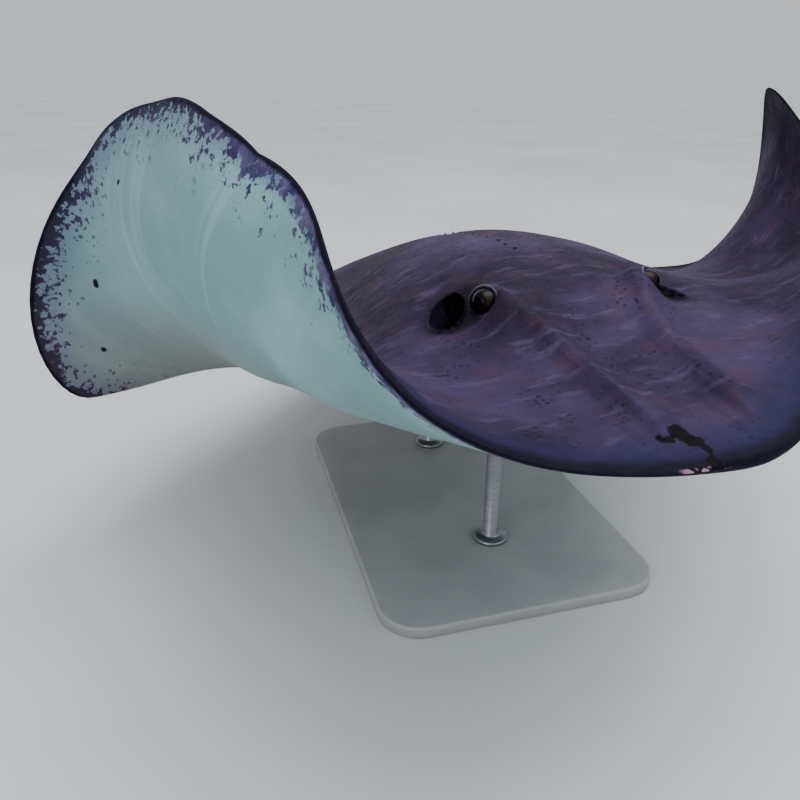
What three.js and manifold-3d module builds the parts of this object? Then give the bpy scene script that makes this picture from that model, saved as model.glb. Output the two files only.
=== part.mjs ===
// A life-size display model of a southern stingray, swimming with both wings raised, on a plain stand.
//
// Frame: millimetres, +Z up. The ray heads along -Y and its left side is +X.
// The body is first described flat, by a place y (behind the snout's tip) and a place a
// (across, along the skin), and then each crosswise section is curled and set at its pose.
// All sizes of the animal are in metres; laid flat, its disc is 0.98 m across.

import * as THREE from 'three';
import { mergeVertices } from 'three/addons/utils/BufferGeometryUtils.js';
import Module from 'manifold-3d';

const wasm = await Module();
wasm.setup();

// ---------------------------------------------------------------- driving dimensions

const metre = 1000;              // in millimetres
const totalLength = 2.15;        // snout to tail tip
const nodeGap = 0.0004;          // clearance between neighbouring solids
const rim = 0.0009;              // half thickness of the fin's edge

// Where the body is divided, behind the snout.
const finStart = 0.052;
const headEnd = 0.30;
const trunkEnd = 0.857;
const tailBaseEnd = 1.16;
const tailMiddleEnd = 1.62;

// The pose of the whole animal.
const posePivot = 0.40;          // behind the snout
const pitch = THREE.MathUtils.degToRad(4.8);
const roll = THREE.MathUtils.degToRad(-4.9);
const pivotHeight = 0.25;        // above the floor
const bodyCore = 0.126;          // half width of the trunk that doesn't bend

// Eyes, spiracles and the sting.
const eye = { y: 0.2040, a: 0.0640, h: 0.0485, radius: 0.0107 };
const sting = { start: 1.17, length: 0.095, halfWidth: 0.0036, thickness: 0.0034, lift: 0.006 };

// Pelvic fins: the first and last place along the body, the inner edge and the lobe's width.
const pelvic = {
  start: 0.765, end: 0.918, inner: 0.034, width: 0.066, rootThickness: 0.007, edgeThickness: 0.002,
};

// The display stand, in millimetres apart from the places along the body.
const stand = {
  y: 0.43, width: 280, length: 420, thickness: 12, corner: 40, bevel: 2, rodRadius: 8, gap: 0.4,
};
const rodPlaces = [['front', 0.335], ['rear', 0.56]];

// ---------------------------------------------------------------- curves

// A smooth curve through [place, value] pairs.
function curve(pairs) {
  const xs = pairs.map((p) => p[0]);
  const ys = pairs.map((p) => p[1]);
  const steps = xs.slice(1).map((x, i) => x - xs[i]);
  const slopes = steps.map((h, i) => (ys[i + 1] - ys[i]) / h);
  const tangents = xs.map((_, i) => {
    if (i === 0) return slopes[0];
    if (i === xs.length - 1) return slopes[i - 1];
    return (slopes[i - 1] * steps[i] + slopes[i] * steps[i - 1]) / (steps[i - 1] + steps[i]);
  });
  return (x) => {
    const at = THREE.MathUtils.clamp(x, xs[0], xs[xs.length - 1]);
    let i = steps.length - 1;
    while (i > 0 && at < xs[i]) i -= 1;
    const t = (at - xs[i]) / steps[i];
    return (1 + 2 * t) * (1 - t) ** 2 * ys[i] + t * (1 - t) ** 2 * steps[i] * tangents[i]
      + t * t * (3 - 2 * t) * ys[i + 1] + t * t * (t - 1) * steps[i] * tangents[i + 1];
  };
}

const smooth = (from, to, x) => THREE.MathUtils.smoothstep(x, from, to);
const bell = (x, width) => Math.exp(-((x / width) ** 2));

// ---------------------------------------------------------------- the body laid flat

// Half width of the disc and tail. The places are spread by their square root, so that the
// blunt front edge comes out round.
const outline = curve([
  [0, 0], [0.005, 0.032], [0.02, 0.066], [0.05, 0.124], [0.10, 0.208], [0.15, 0.283], [0.20, 0.350],
  [0.25, 0.407], [0.30, 0.452], [0.34, 0.476], [0.375, 0.489], [0.40, 0.492], [0.43, 0.488],
  [0.47, 0.468], [0.52, 0.428], [0.58, 0.372], [0.64, 0.312], [0.70, 0.250], [0.76, 0.186],
  [0.80, 0.140], [0.84, 0.088], [0.87, 0.044], [0.90, 0.028], [1.0, 0.0195], [1.1, 0.0155],
  [1.3, 0.0103], [1.6, 0.0065], [2.0, 0.0032], [totalLength, 0.0016],
].map(([y, w]) => [Math.sqrt(y / totalLength), w]));
const halfWidth = (y) => outline(Math.sqrt(y / totalLength));

// Height of the back and depth of the belly along the middle line.
const back = curve([
  [0, 0.003], [0.03, 0.008], [0.08, 0.0145], [0.12, 0.022], [0.16, 0.036], [0.20, 0.0525],
  [0.27, 0.066], [0.35, 0.072], [0.45, 0.069], [0.55, 0.060], [0.65, 0.048], [0.75, 0.036], [0.85, 0.025],
  [0.95, 0.0185], [1.2, 0.0105], [1.6, 0.006], [totalLength, 0.0015],
]);
const belly = curve([
  [0, 0.003], [0.05, 0.010], [0.10, 0.018], [0.20, 0.033], [0.30, 0.044], [0.40, 0.048], [0.50, 0.047],
  [0.60, 0.041], [0.70, 0.032], [0.80, 0.022], [0.90, 0.014], [1.2, 0.008], [1.6, 0.0045],
  [totalLength, 0.0012],
]);

// Where the pectoral fins join the head and trunk.
const finRoot = curve([
  [0.05, 0.120], [0.12, 0.128], [0.30, 0.132], [0.5, 0.125], [0.7, 0.088], [trunkEnd, 0.040],
]);
const rootAt = (y) => (y < finStart ? halfWidth(y) : Math.min(halfWidth(y), finRoot(y)));

// The raised sockets of the eyes, the ridges from them to the snout, the hollow between them
// and the openings behind them.
const socket = {
  y: 0.203, a: 0.060, height: 0.008, front: 0.027, rear: 0.026, inner: 0.013, outer: 0.012,
};
const spiracle = { y: 0.230, a: 0.0855, depth: 0.018, long: 0.032, wide: 0.017, slant: 0.30 };
const ridgeLine = curve([
  [0, 0.008], [0.03, 0.024], [0.07, 0.031], [0.105, 0.033], [0.137, 0.037], [0.17, 0.045], [0.20, 0.058],
]);
function headRelief(y, a) {
  const across = Math.abs(a);
  const along = y - socket.y;
  const out = across - socket.a;
  const fromSocket = Math.hypot(
    along / (along < 0 ? socket.front : socket.rear),
    out / (out < 0 ? socket.inner : socket.outer),
  );
  const bump = Math.exp(-(fromSocket ** 2.6));
  const ridgeFade = smooth(0.005, 0.06, y) * (1 - smooth(0.18, 0.22, y));
  const ridge = 0.0075 * bell(across - ridgeLine(y), 0.0095) * ridgeFade;
  const hollow = 0.006 * bell(across, 0.026) * bell(y - 0.195, 0.06);
  const cheek = 0.004 * bell(across - 0.075, 0.014) * bell(y - 0.187, 0.017);
  const outward = across - spiracle.a + spiracle.slant * (y - spiracle.y);
  const fromSpiracle = Math.hypot((y - spiracle.y) / spiracle.long, outward / spiracle.wide);
  const pit = spiracle.depth * Math.exp(-(fromSpiracle ** 3));
  return socket.height * bump + ridge - hollow - cheek - pit;
}

// Height of the upper or lower skin over the middle plane.
function skin(y, a, side) {
  const w = Math.max(halfWidth(y), 1e-5);
  const t = Math.min(Math.abs(a) / w, 1);
  const wing = Math.min(w / 0.3, 1);
  const up = side > 0;
  const middle = up ? back(y) : belly(y);
  const fin = up
    ? 0.020 * wing * (1 - t) ** 0.9 + 0.0022 * Math.sqrt(1 - t * t)
    : 0.018 * wing * (1 - t) ** 0.9 + 0.0015 * Math.sqrt(1 - t * t);
  const reach = up ? Math.min(0.125, 0.62 * w) : Math.min(0.17, 0.66 * w);
  const body = Math.exp(-((Math.abs(a) / reach) ** (up ? 2.4 : 2.6)));
  const disc = Math.min(fin + (middle - fin) * body, 1.6 * middle * Math.sqrt(1 - t ** 2.2));
  const tail = middle * Math.sqrt(1 - t * t);
  const keelFade = smooth(1.24, 1.30, y) * (1 - smooth(1.62, 1.90, y));
  const keel = up ? 0 : 0.010 * keelFade * (1 - smooth(0, 0.3, t));
  const height = THREE.MathUtils.lerp(disc, tail, smooth(0.82, 0.90, y)) + keel;
  return Math.max(height, 0) + rim + (up ? headRelief(y, a) : 0);
}

// ---------------------------------------------------------------- the pose

// How the crosswise sections of each wing are carried, from the snout back to the end of the disc: the
// slope of the skin at its edge (curl, degrees), how much of that is first a dip (degrees), how far the
// edge is swept back, and how much the stretched or folded membrane lengthens or shortens it.
const wingPose = {
  right: {
    bend: 1.2,
    curl: curve([
      [0, 0], [0.08, 50], [0.15, 110], [0.25, 117], [0.41, 120], [0.47, 108], [0.58, 5], [0.68, 15],
      [0.87, 0],
    ]),
    dip: curve([[0, 0], [0.08, -5], [0.22, -15], [0.38, 0], [0.52, 20], [0.68, 0], [0.87, 0]]),
    sweep: curve([
      [0, 0], [0.08, -0.045], [0.16, -0.01], [0.24, 0.01], [0.44, -0.025], [0.57, -0.09], [0.70, -0.07],
      [0.87, 0],
    ]),
    stretch: curve([
      [0, 0], [0.08, 0], [0.16, 0.09], [0.25, -0.05], [0.34, -0.20], [0.42, -0.17], [0.58, 0.24],
      [0.72, 0.15], [0.87, 0],
    ]),
  },
  left: {
    bend: 2.05,
    curl: curve([
      [0, 0], [0.08, 50], [0.16, 60], [0.24, 90], [0.34, 120], [0.46, 105], [0.58, 25], [0.70, -12],
      [0.87, 0],
    ]),
    dip: curve([
      [0, 0], [0.08, -15], [0.16, -15], [0.32, 12], [0.40, 4], [0.53, 25], [0.68, 5], [0.87, 0],
    ]),
    sweep: curve([
      [0, 0], [0.08, 0.04], [0.16, 0.04], [0.32, 0.06], [0.40, 0.055], [0.52, 0.01], [0.70, 0], [0.87, 0],
    ]),
    stretch: curve([
      [0, 0], [0.08, -0.07], [0.24, -0.09], [0.32, -0.08], [0.40, 0.01], [0.60, 0.03], [0.87, 0],
    ]),
  },
};

// The middle line sinks and sways towards the tail.
const sink = curve([
  [0, 0], [0.25, 0], [0.45, 0.005], [0.75, 0.042], [1.1, 0.104], [1.3, 0.115], [1.6, 0.100],
  [totalLength, 0.005],
]);
const sway = curve([[0, 0], [0.80, 0], [1.1, -0.012], [1.5, -0.045], [1.9, -0.030], [totalLength, 0.010]]);

// Where the wings hang slack between their muscles, and how much the head rolls to its left.
const slackSpots = [
  { y: 0.44, a: -0.22, long: 0.16, wide: 0.06, depth: 0.035 },
  { y: 0.44, a: 0.27, long: 0.13, wide: 0.10, depth: 0.025 },
];
const headTwist = 0.058;
const slack = (y, a) => slackSpots.reduce(
  (drop, spot) => drop + spot.depth * bell(y - spot.y, spot.long) * bell(a - spot.a, spot.wide),
  headTwist * a * bell(y - 0.20, 0.10) * bell(a, 0.14),
);

// How much of the way from the trunk that doesn't bend (0) to the fin's edge (1) a place lies.
function share(y, across) {
  const w = Math.max(halfWidth(y), 1e-5);
  const core = bodyCore * THREE.MathUtils.clamp(w / 0.35, 0.05, 1);
  return THREE.MathUtils.clamp((across - core) / Math.max(w - core, 1e-4), 0, 1.2);
}

// A point of a posed crosswise section, h off its middle line, in millimetres on the stand.
const bendSteps = 32;
function sectionPoint(y, a, h) {
  const side = a < 0 ? -1 : 1;
  const pose = side < 0 ? wingPose.right : wingPose.left;
  const across = Math.abs(a);
  const curl = THREE.MathUtils.degToRad(pose.curl(y));
  const dip = THREE.MathUtils.degToRad(pose.dip(y));
  const stretch = pose.stretch(y);
  const slope = (s) => curl * s ** pose.bend - dip * Math.sin(Math.PI * Math.min(s, 1));
  let x = 0;
  let z = 0;
  for (let i = 0; i < bendSteps; i += 1) {
    const s = share(y, across * (i + 0.5) / bendSteps);
    const step = across / bendSteps * (1 + stretch * s);
    x += Math.cos(slope(s)) * step;
    z += Math.sin(slope(s)) * step;
  }
  const s = share(y, across);
  const end = slope(s);
  const point = new THREE.Vector3(
    side * (x - Math.sin(end) * h) + sway(y),
    y + pose.sweep(y) * s ** 1.6 - posePivot,
    z + Math.cos(end) * h - sink(y) - slack(y, a),
  );
  point.applyAxisAngle(new THREE.Vector3(1, 0, 0), -pitch);
  point.applyAxisAngle(new THREE.Vector3(0, 1, 0), roll);
  point.add(new THREE.Vector3(0, posePivot, pivotHeight));
  return point.multiplyScalar(metre);
}

// The point at a place on the skin. h is measured from the middle surface: in the crosswise section
// near the body, and square to the surface out on the wings.
const normalStep = 0.0006;
function place(y, a, h) {
  const free = smooth(0, 0.4, share(y, Math.abs(a))) * (1 - smooth(0.74, 0.84, y));
  const inSection = sectionPoint(y, a, h);
  if (free === 0 || h === 0) return inSection;
  const level = sectionPoint(y, a, 0);
  const across = sectionPoint(y, a + normalStep, 0).sub(sectionPoint(y, a - normalStep, 0));
  const along = sectionPoint(y + normalStep, a, 0).sub(sectionPoint(Math.max(y - normalStep, 0), a, 0));
  const square = across.cross(along).normalize();
  const upright = inSection.sub(level).divideScalar(h * metre);
  const normal = upright.lerp(square, free).normalize();
  return level.addScaledVector(normal, h * metre);
}

// ---------------------------------------------------------------- solids

const finish = (red, green, blue, roughness, metalness) => new THREE.MeshStandardMaterial({
  color: new THREE.Color(red, green, blue), roughness, metalness,
});
const materials = {
  skin: finish(0.115, 0.095, 0.16, 0.5, 0),
  eye: finish(0.02, 0.018, 0.025, 0.1, 0),
  spine: finish(0.45, 0.40, 0.32, 0.5, 0),
  stand: finish(0.33, 0.335, 0.34, 0.5, 0.1),
};

const model = new THREE.Group();
const meshes = {};
function addPart(name, geometry, material) {
  const mesh = new THREE.Mesh(geometry, material);
  mesh.name = name;
  meshes[name] = mesh;
  model.add(mesh);
  return mesh;
}

// A closed solid between two sheets of points: layers[0] on top, layers[1] underneath, each a list
// of rows along the body with points running from low x to high x.
function slab(layers) {
  const [rows, columns] = [layers[0].length, layers[0][0].length];
  const positions = layers.flat(2).flatMap((p) => p.toArray());
  const at = (layer, i, j) => (layer * rows + i) * columns + j;
  const index = [];
  const quad = (a, b, c, d) => index.push(a, b, c, a, c, d);
  for (let i = 0; i < rows - 1; i += 1) {
    for (let j = 0; j < columns - 1; j += 1) {
      quad(at(0, i, j), at(0, i, j + 1), at(0, i + 1, j + 1), at(0, i + 1, j));
      quad(at(1, i, j), at(1, i + 1, j), at(1, i + 1, j + 1), at(1, i, j + 1));
    }
    quad(at(0, i, 0), at(0, i + 1, 0), at(1, i + 1, 0), at(1, i, 0));
    const last = columns - 1;
    quad(at(0, i, last), at(1, i, last), at(1, i + 1, last), at(0, i + 1, last));
  }
  for (let j = 0; j < columns - 1; j += 1) {
    quad(at(0, 0, j), at(1, 0, j), at(1, 0, j + 1), at(0, 0, j + 1));
    quad(at(0, rows - 1, j), at(0, rows - 1, j + 1), at(1, rows - 1, j + 1), at(1, rows - 1, j));
  }
  const geometry = new THREE.BufferGeometry();
  geometry.setAttribute('position', new THREE.Float32BufferAttribute(positions, 3));
  geometry.setIndex(index);
  return geometry;
}

const upperSkin = (y, a) => skin(y, a, 1);
const lowerSkin = (y, a) => -skin(y, a, -1);

// Part of the body between two lines along it, given by their places across at each station.
function bodyPatch(stations, from, to, spread, top = upperSkin, under = lowerSkin) {
  const sheet = (height) => stations.map((y) => spread.map((t) => {
    const a = THREE.MathUtils.lerp(from(y), to(y), t);
    return place(y, a, height(y, a));
  }));
  return slab([sheet(top), sheet(under)]);
}

const even = (count) => Array.from({ length: count + 1 }, (_, i) => i / count);
const between = (from, to, count) => even(count).map((t) => from + (to - from) * t);
const towardsEdge = (count) => even(count).map((t) => 1 - (1 - t) ** 1.6);
const mirrored = (half) => [
  ...half.slice(1).reverse().map((t) => 0.5 - t / 2),
  ...half.map((t) => 0.5 + t / 2),
];

// Stations shared by the head, trunk and wings, so that their walls run side by side.
const headStations = [0.0012, 0.006, 0.015, 0.03, finStart - 0.002, finStart, 0.075, 0.10, 0.125, 0.145, 0.165,
  0.18, 0.192, 0.204, 0.216, 0.228, 0.24, 0.252, 0.266, 0.283, headEnd];
const trunkStations = [headEnd, ...between(0.335, 0.615, 8), ...between(0.66, 0.78, 3), 0.81, 0.835, trunkEnd];
const headSpread = mirrored([0, 0.14, 0.28, 0.38, 0.46, 0.54, 0.62, 0.70, 0.80, 0.90, 1]);
const trunkSpread = mirrored([0, 0.16, 0.33, 0.5, 0.68, 0.84, 1]);
const shifted = (stations) => [stations[0] + nodeGap, ...stations.slice(1)];

addPart('head', bodyPatch(headStations, (y) => -rootAt(y), rootAt, headSpread), materials.skin);
addPart('trunk', bodyPatch(shifted(trunkStations), (y) => -rootAt(y), rootAt, trunkSpread), materials.skin);

const wingStations = shifted([...headStations.filter((y) => y >= finStart), ...trunkStations.slice(1)]);
const wingSpread = towardsEdge(13);
addPart('fin_pectoral_right', bodyPatch(wingStations, (y) => -halfWidth(y), (y) => -rootAt(y) - nodeGap,
  wingSpread.map((t) => 1 - t).reverse()), materials.skin);
addPart('fin_pectoral_left', bodyPatch(wingStations, (y) => rootAt(y) + nodeGap, halfWidth, wingSpread),
  materials.skin);

// The tail, in three lengths.
const tailSpread = mirrored([0, 0.35, 0.7, 0.92, 1]);
for (const [name, stations] of [
  ['tail_base', [trunkEnd + 2 * nodeGap, 0.87, 0.885, 0.90, 0.92, ...between(0.95, tailBaseEnd, 5)]],
  ['tail_middle', between(tailBaseEnd, tailMiddleEnd, 10)],
  ['tail_end', between(tailMiddleEnd, totalLength, 10)],
]) {
  addPart(name, bodyPatch(shifted(stations), (y) => -halfWidth(y), halfWidth, tailSpread), materials.skin);
}

// ---------------------------------------------------------------- pelvic fins

// How far a lobe reaches out from its inner edge.
function pelvicReach(y) {
  const along = (y - pelvic.start) / (pelvic.end - pelvic.start);
  return Math.max(pelvic.width * Math.sin(Math.PI * Math.min(along, 1) ** 1.35) ** 0.6, 0.004);
}
const pelvicTop = (y, a) => -skin(y, a, -1) - 5 * nodeGap;
function pelvicUnder(y, a) {
  const out = THREE.MathUtils.clamp((Math.abs(a) - pelvic.inner) / pelvicReach(y), 0, 1);
  const thickness = THREE.MathUtils.lerp(pelvic.rootThickness, pelvic.edgeThickness, out ** 0.7);
  return pelvicTop(y, a) - thickness;
}
const pelvicStations = between(pelvic.start, pelvic.end, 12);
const pelvicSpread = even(6);
const pelvicInner = () => pelvic.inner;
const pelvicOuter = (y) => pelvic.inner + pelvicReach(y);
addPart('fin_pelvic_right', bodyPatch(pelvicStations, (y) => -pelvicOuter(y), () => -pelvic.inner,
  pelvicSpread, pelvicTop, pelvicUnder), materials.skin);
addPart('fin_pelvic_left', bodyPatch(pelvicStations, pelvicInner, pelvicOuter,
  pelvicSpread, pelvicTop, pelvicUnder), materials.skin);

// ---------------------------------------------------------------- the sting

// A flat blade on top of the tail, rising a little towards its point.
const stingAlong = (y) => (y - sting.start) / sting.length;
const stingHalfWidth = (y) => sting.halfWidth * (1 - 0.8 * stingAlong(y) ** 1.5);
const stingUnder = (y) => skin(y, 0, 1) + nodeGap + sting.lift * stingAlong(y) ** 2;
const stingTop = (y, a) => stingUnder(y) + sting.thickness * (1 - 0.7 * stingAlong(y))
  * (1 - 0.5 * (a / stingHalfWidth(y)) ** 2);
const stingStations = between(sting.start, sting.start + sting.length, 8);
addPart('sting_spine', bodyPatch(stingStations, (y) => -stingHalfWidth(y), stingHalfWidth, even(4),
  stingTop, stingUnder), materials.spine);

// ---------------------------------------------------------------- cuts

function toSolid(geometry) {
  const bare = geometry.clone();
  bare.deleteAttribute('normal');
  bare.deleteAttribute('uv');
  const merged = mergeVertices(bare, 1e-4);
  return new wasm.Manifold(new wasm.Mesh({
    numProp: 3,
    vertProperties: new Float32Array(merged.attributes.position.array),
    triVerts: new Uint32Array(merged.index.array),
  }));
}

function toGeometry(solid) {
  const { vertProperties, triVerts } = solid.getMesh();
  const geometry = new THREE.BufferGeometry();
  geometry.setAttribute('position', new THREE.Float32BufferAttribute(vertProperties, 3));
  geometry.setIndex(new THREE.Uint32BufferAttribute(triVerts, 1));
  return geometry;
}

const cut = (geometry, tool) => toGeometry(toSolid(geometry).subtract(toSolid(tool)));

// ---------------------------------------------------------------- eyes

// Each eyeball sits in a round socket in the head.
for (const [name, side] of [['eye_right', -1], ['eye_left', 1]]) {
  const centre = place(eye.y, side * eye.a, eye.h);
  const ball = (radius) => new THREE.SphereGeometry(radius * metre, 16, 10).translate(...centre.toArray());
  meshes.head.geometry = cut(meshes.head.geometry, ball(eye.radius + nodeGap));
  addPart(name, ball(eye.radius), materials.eye);
}

// ---------------------------------------------------------------- display stand

function roundedPlate(width, length, corner) {
  const [w, l] = [width / 2, length / 2];
  const shape = new THREE.Shape();
  shape.absarc(w - corner, -l + corner, corner, -Math.PI / 2, 0);
  shape.absarc(w - corner, l - corner, corner, 0, Math.PI / 2);
  shape.absarc(-w + corner, l - corner, corner, Math.PI / 2, Math.PI);
  shape.absarc(-w + corner, -l + corner, corner, Math.PI, Math.PI * 1.5);
  return shape;
}

const plate = new THREE.ExtrudeGeometry(
  roundedPlate(stand.width - 2 * stand.bevel, stand.length - 2 * stand.bevel, stand.corner),
  { depth: stand.thickness - 2 * stand.bevel, bevelThickness: stand.bevel, bevelSize: stand.bevel,
    bevelSegments: 1, curveSegments: 6 },
).translate(0, stand.y * metre, stand.bevel);
addPart('stand_base', plate, materials.stand);

// The rods rise from the base and end against the curve of the belly.
for (const [name, y] of rodPlaces) {
  const belowBelly = place(y, 0, 0);
  const length = belowBelly.z - stand.thickness - stand.gap;
  const rod = new THREE.CylinderGeometry(stand.rodRadius, stand.rodRadius, length, 24)
    .rotateX(Math.PI / 2)
    .translate(belowBelly.x, belowBelly.y, stand.thickness + stand.gap + length / 2);
  const clearTrunk = meshes.trunk.geometry.clone().translate(0, 0, -stand.gap);
  addPart(`stand_rod_${name}`, cut(rod, clearTrunk), materials.stand);
}

// ---------------------------------------------------------------- origin

// The middle of the whole model's footprint, on the floor.
const box = new THREE.Box3().setFromObject(model);
const middle = box.getCenter(new THREE.Vector3());
model.position.set(-middle.x, -middle.y, -box.min.z);

export default model;
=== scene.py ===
"""The looks of a life-size display model of a southern stingray, swimming with both wings raised.

Metres, +Z up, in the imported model's frame: the ray heads along -Y and its left side is +X.
The body is described flat, by a place y behind the snout's tip and a place a across the skin, and is
then set at its pose. Every size is in metres; laid flat, the disc is 0.98 m across.
"""

import bmesh
import bpy
import numpy as np
from mathutils import Matrix, Vector
from mathutils.kdtree import KDTree


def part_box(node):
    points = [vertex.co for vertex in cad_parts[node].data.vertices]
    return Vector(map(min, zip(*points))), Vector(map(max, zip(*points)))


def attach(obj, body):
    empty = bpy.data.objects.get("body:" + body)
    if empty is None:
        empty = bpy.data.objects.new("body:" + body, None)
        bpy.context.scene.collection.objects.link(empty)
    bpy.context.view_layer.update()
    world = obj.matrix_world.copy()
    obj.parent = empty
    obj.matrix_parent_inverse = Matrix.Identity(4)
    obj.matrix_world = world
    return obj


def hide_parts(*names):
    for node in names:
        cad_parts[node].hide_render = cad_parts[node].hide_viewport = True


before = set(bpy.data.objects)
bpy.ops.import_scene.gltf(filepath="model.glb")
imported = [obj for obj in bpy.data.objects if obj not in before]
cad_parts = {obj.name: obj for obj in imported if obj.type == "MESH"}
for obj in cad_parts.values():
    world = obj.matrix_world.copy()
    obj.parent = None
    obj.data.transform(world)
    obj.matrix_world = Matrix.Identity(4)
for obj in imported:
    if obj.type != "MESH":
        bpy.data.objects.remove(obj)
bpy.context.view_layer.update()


# ---- driving sizes

TOTAL_LENGTH = 2.15
POSE_PIVOT = 0.40
PIVOT_HEIGHT = 0.25
PITCH = np.radians(4.8)
ROLL = np.radians(-4.9)
BODY_CORE = 0.126
RIM = 0.0009
STAND_Y = 0.43
EYE_RADIUS = 0.0107
EYE_PLACE = (0.2040, 0.0640, 0.0485)

# How far the row frame lies from the frame the pose is worked out in.
base_low, base_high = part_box("stand_base")
SHIFT = np.array([(base_low.x + base_high.x) / 2, (base_low.y + base_high.y) / 2 - STAND_Y, 0.0])


# ---- curves

def curve(pairs):
    """A smooth curve through (place, value) pairs, for arrays of places."""
    xs, ys = np.array(pairs, float).T
    steps = np.diff(xs)
    slopes = np.diff(ys) / steps
    inner = (slopes[:-1] * steps[1:] + slopes[1:] * steps[:-1]) / (steps[:-1] + steps[1:])
    tangents = np.concatenate([slopes[:1], inner, slopes[-1:]])

    def value(x):
        at = np.clip(x, xs[0], xs[-1])
        i = np.clip(np.searchsorted(xs, at, side="right") - 1, 0, len(steps) - 1)
        t = (at - xs[i]) / steps[i]
        return (
            (1 + 2 * t) * (1 - t) ** 2 * ys[i]
            + t * (1 - t) ** 2 * steps[i] * tangents[i]
            + t * t * (3 - 2 * t) * ys[i + 1]
            + t * t * (t - 1) * steps[i] * tangents[i + 1]
        )

    return value


def smooth(low, high, x):
    t = np.clip((x - low) / (high - low), 0, 1)
    return t * t * (3 - 2 * t)


def plateau(rise, full, fall, end, x):
    """1 between full and fall, and 0 before rise and past end."""
    return smooth(rise, full, x) * (1 - smooth(fall, end, x))


def bell(x, width):
    return np.exp(-((x / width) ** 2))


def unit(vectors):
    return vectors / np.linalg.norm(vectors, axis=-1, keepdims=True)


# ---- the body laid flat

# Half width of the disc and tail.
OUTLINE = [
    (0, 0), (0.005, 0.032), (0.02, 0.066), (0.05, 0.124), (0.10, 0.208), (0.15, 0.283), (0.20, 0.350),
    (0.25, 0.407), (0.30, 0.452), (0.34, 0.476), (0.375, 0.489), (0.40, 0.492), (0.43, 0.488),
    (0.47, 0.468), (0.52, 0.428), (0.58, 0.372), (0.64, 0.312), (0.70, 0.250), (0.76, 0.186),
    (0.80, 0.140), (0.84, 0.088), (0.87, 0.044), (0.90, 0.028), (1.0, 0.0195), (1.1, 0.0155),
    (1.3, 0.0103), (1.6, 0.0065), (2.0, 0.0032), (TOTAL_LENGTH, 0.0016),
]
outline = curve([(np.sqrt(y / TOTAL_LENGTH), w) for y, w in OUTLINE])


def half_width(y):
    return outline(np.sqrt(np.asarray(y) / TOTAL_LENGTH))


# Height of the back and depth of the belly along the middle line.
back = curve([
    (0, 0.003), (0.03, 0.008), (0.08, 0.0145), (0.12, 0.022), (0.16, 0.036), (0.20, 0.0525),
    (0.27, 0.066), (0.35, 0.072), (0.45, 0.069), (0.55, 0.060), (0.65, 0.048), (0.75, 0.036),
    (0.85, 0.025), (0.95, 0.0185), (1.2, 0.0105), (1.6, 0.006), (TOTAL_LENGTH, 0.0015),
])
belly = curve([
    (0, 0.003), (0.05, 0.010), (0.10, 0.018), (0.20, 0.033), (0.30, 0.044), (0.40, 0.048), (0.50, 0.047),
    (0.60, 0.041), (0.70, 0.032), (0.80, 0.022), (0.90, 0.014), (1.2, 0.008), (1.6, 0.0045),
    (TOTAL_LENGTH, 0.0012),
])

# The raised sockets of the eyes, and the breathing holes behind them.
SOCKET = {
    "y": 0.203, "a": 0.06, "height": 0.008, "front": 0.027, "rear": 0.026, "inner": 0.013, "outer": 0.012,
}
SPIRACLE = {"y": 0.230, "a": 0.0855, "long": 0.029, "wide": 0.0145, "slant": 0.30, "depth": 0.032}

# How far from the middle line the ridges run that lead from the eyes to the snout.
ridge_line = curve([
    (0, 0.008), (0.03, 0.024), (0.07, 0.031), (0.105, 0.033), (0.137, 0.037), (0.17, 0.045), (0.20, 0.058),
])


def head_relief(y, a):
    """The raised sockets, the ridges from them to the snout, and the hollows round them."""
    across = np.abs(a)
    along = y - SOCKET["y"]
    out = across - SOCKET["a"]
    lengths = np.where(along < 0, SOCKET["front"], SOCKET["rear"])
    widths = np.where(out < 0, SOCKET["inner"], SOCKET["outer"])
    bump = np.exp(-(np.hypot(along / lengths, out / widths) ** 2.6))
    ridge = 0.0075 * bell(across - ridge_line(y), 0.0095) * plateau(0.005, 0.06, 0.18, 0.22, y)
    hollow = 0.006 * bell(across, 0.026) * bell(y - 0.195, 0.06)
    cheek = 0.004 * bell(across - 0.075, 0.014) * bell(y - 0.187, 0.017)
    outward = across - SPIRACLE["a"] + SPIRACLE["slant"] * (y - SPIRACLE["y"])
    from_hole = np.hypot((y - SPIRACLE["y"]) / 0.046, outward / 0.028)
    funnel = 0.010 * np.exp(-(from_hole**2.4))
    return SOCKET["height"] * bump + ridge - hollow - cheek - funnel


def skin_height(y, a, up):
    """Height of the upper skin over the middle plane, or depth of the lower skin under it."""
    w = np.maximum(half_width(y), 1e-5)
    t = np.minimum(np.abs(a) / w, 1)
    wing = np.minimum(w / 0.3, 1)
    middle = back(y) if up else belly(y)
    if up:
        fin = 0.020 * wing * (1 - t) ** 0.9 + 0.0022 * np.sqrt(1 - t * t)
        reach = np.minimum(0.125, 0.62 * w)
    else:
        fin = 0.018 * wing * (1 - t) ** 0.9 + 0.0015 * np.sqrt(1 - t * t)
        reach = np.minimum(0.17, 0.66 * w)
    body = np.exp(-((np.abs(a) / reach) ** (2.4 if up else 2.6)))
    disc = np.minimum(fin + (middle - fin) * body, 1.6 * middle * np.sqrt(1 - t**2.2))
    tail = middle * np.sqrt(1 - t * t)
    height = disc + (tail - disc) * smooth(0.82, 0.90, y)
    if not up:
        keel = plateau(1.24, 1.30, 1.62, 1.90, y) * (1 - smooth(0, 0.3, t))
        height = height + 0.010 * keel
    return np.maximum(height, 0) + RIM + (head_relief(y, a) if up else 0)


# ---- fine relief

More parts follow.
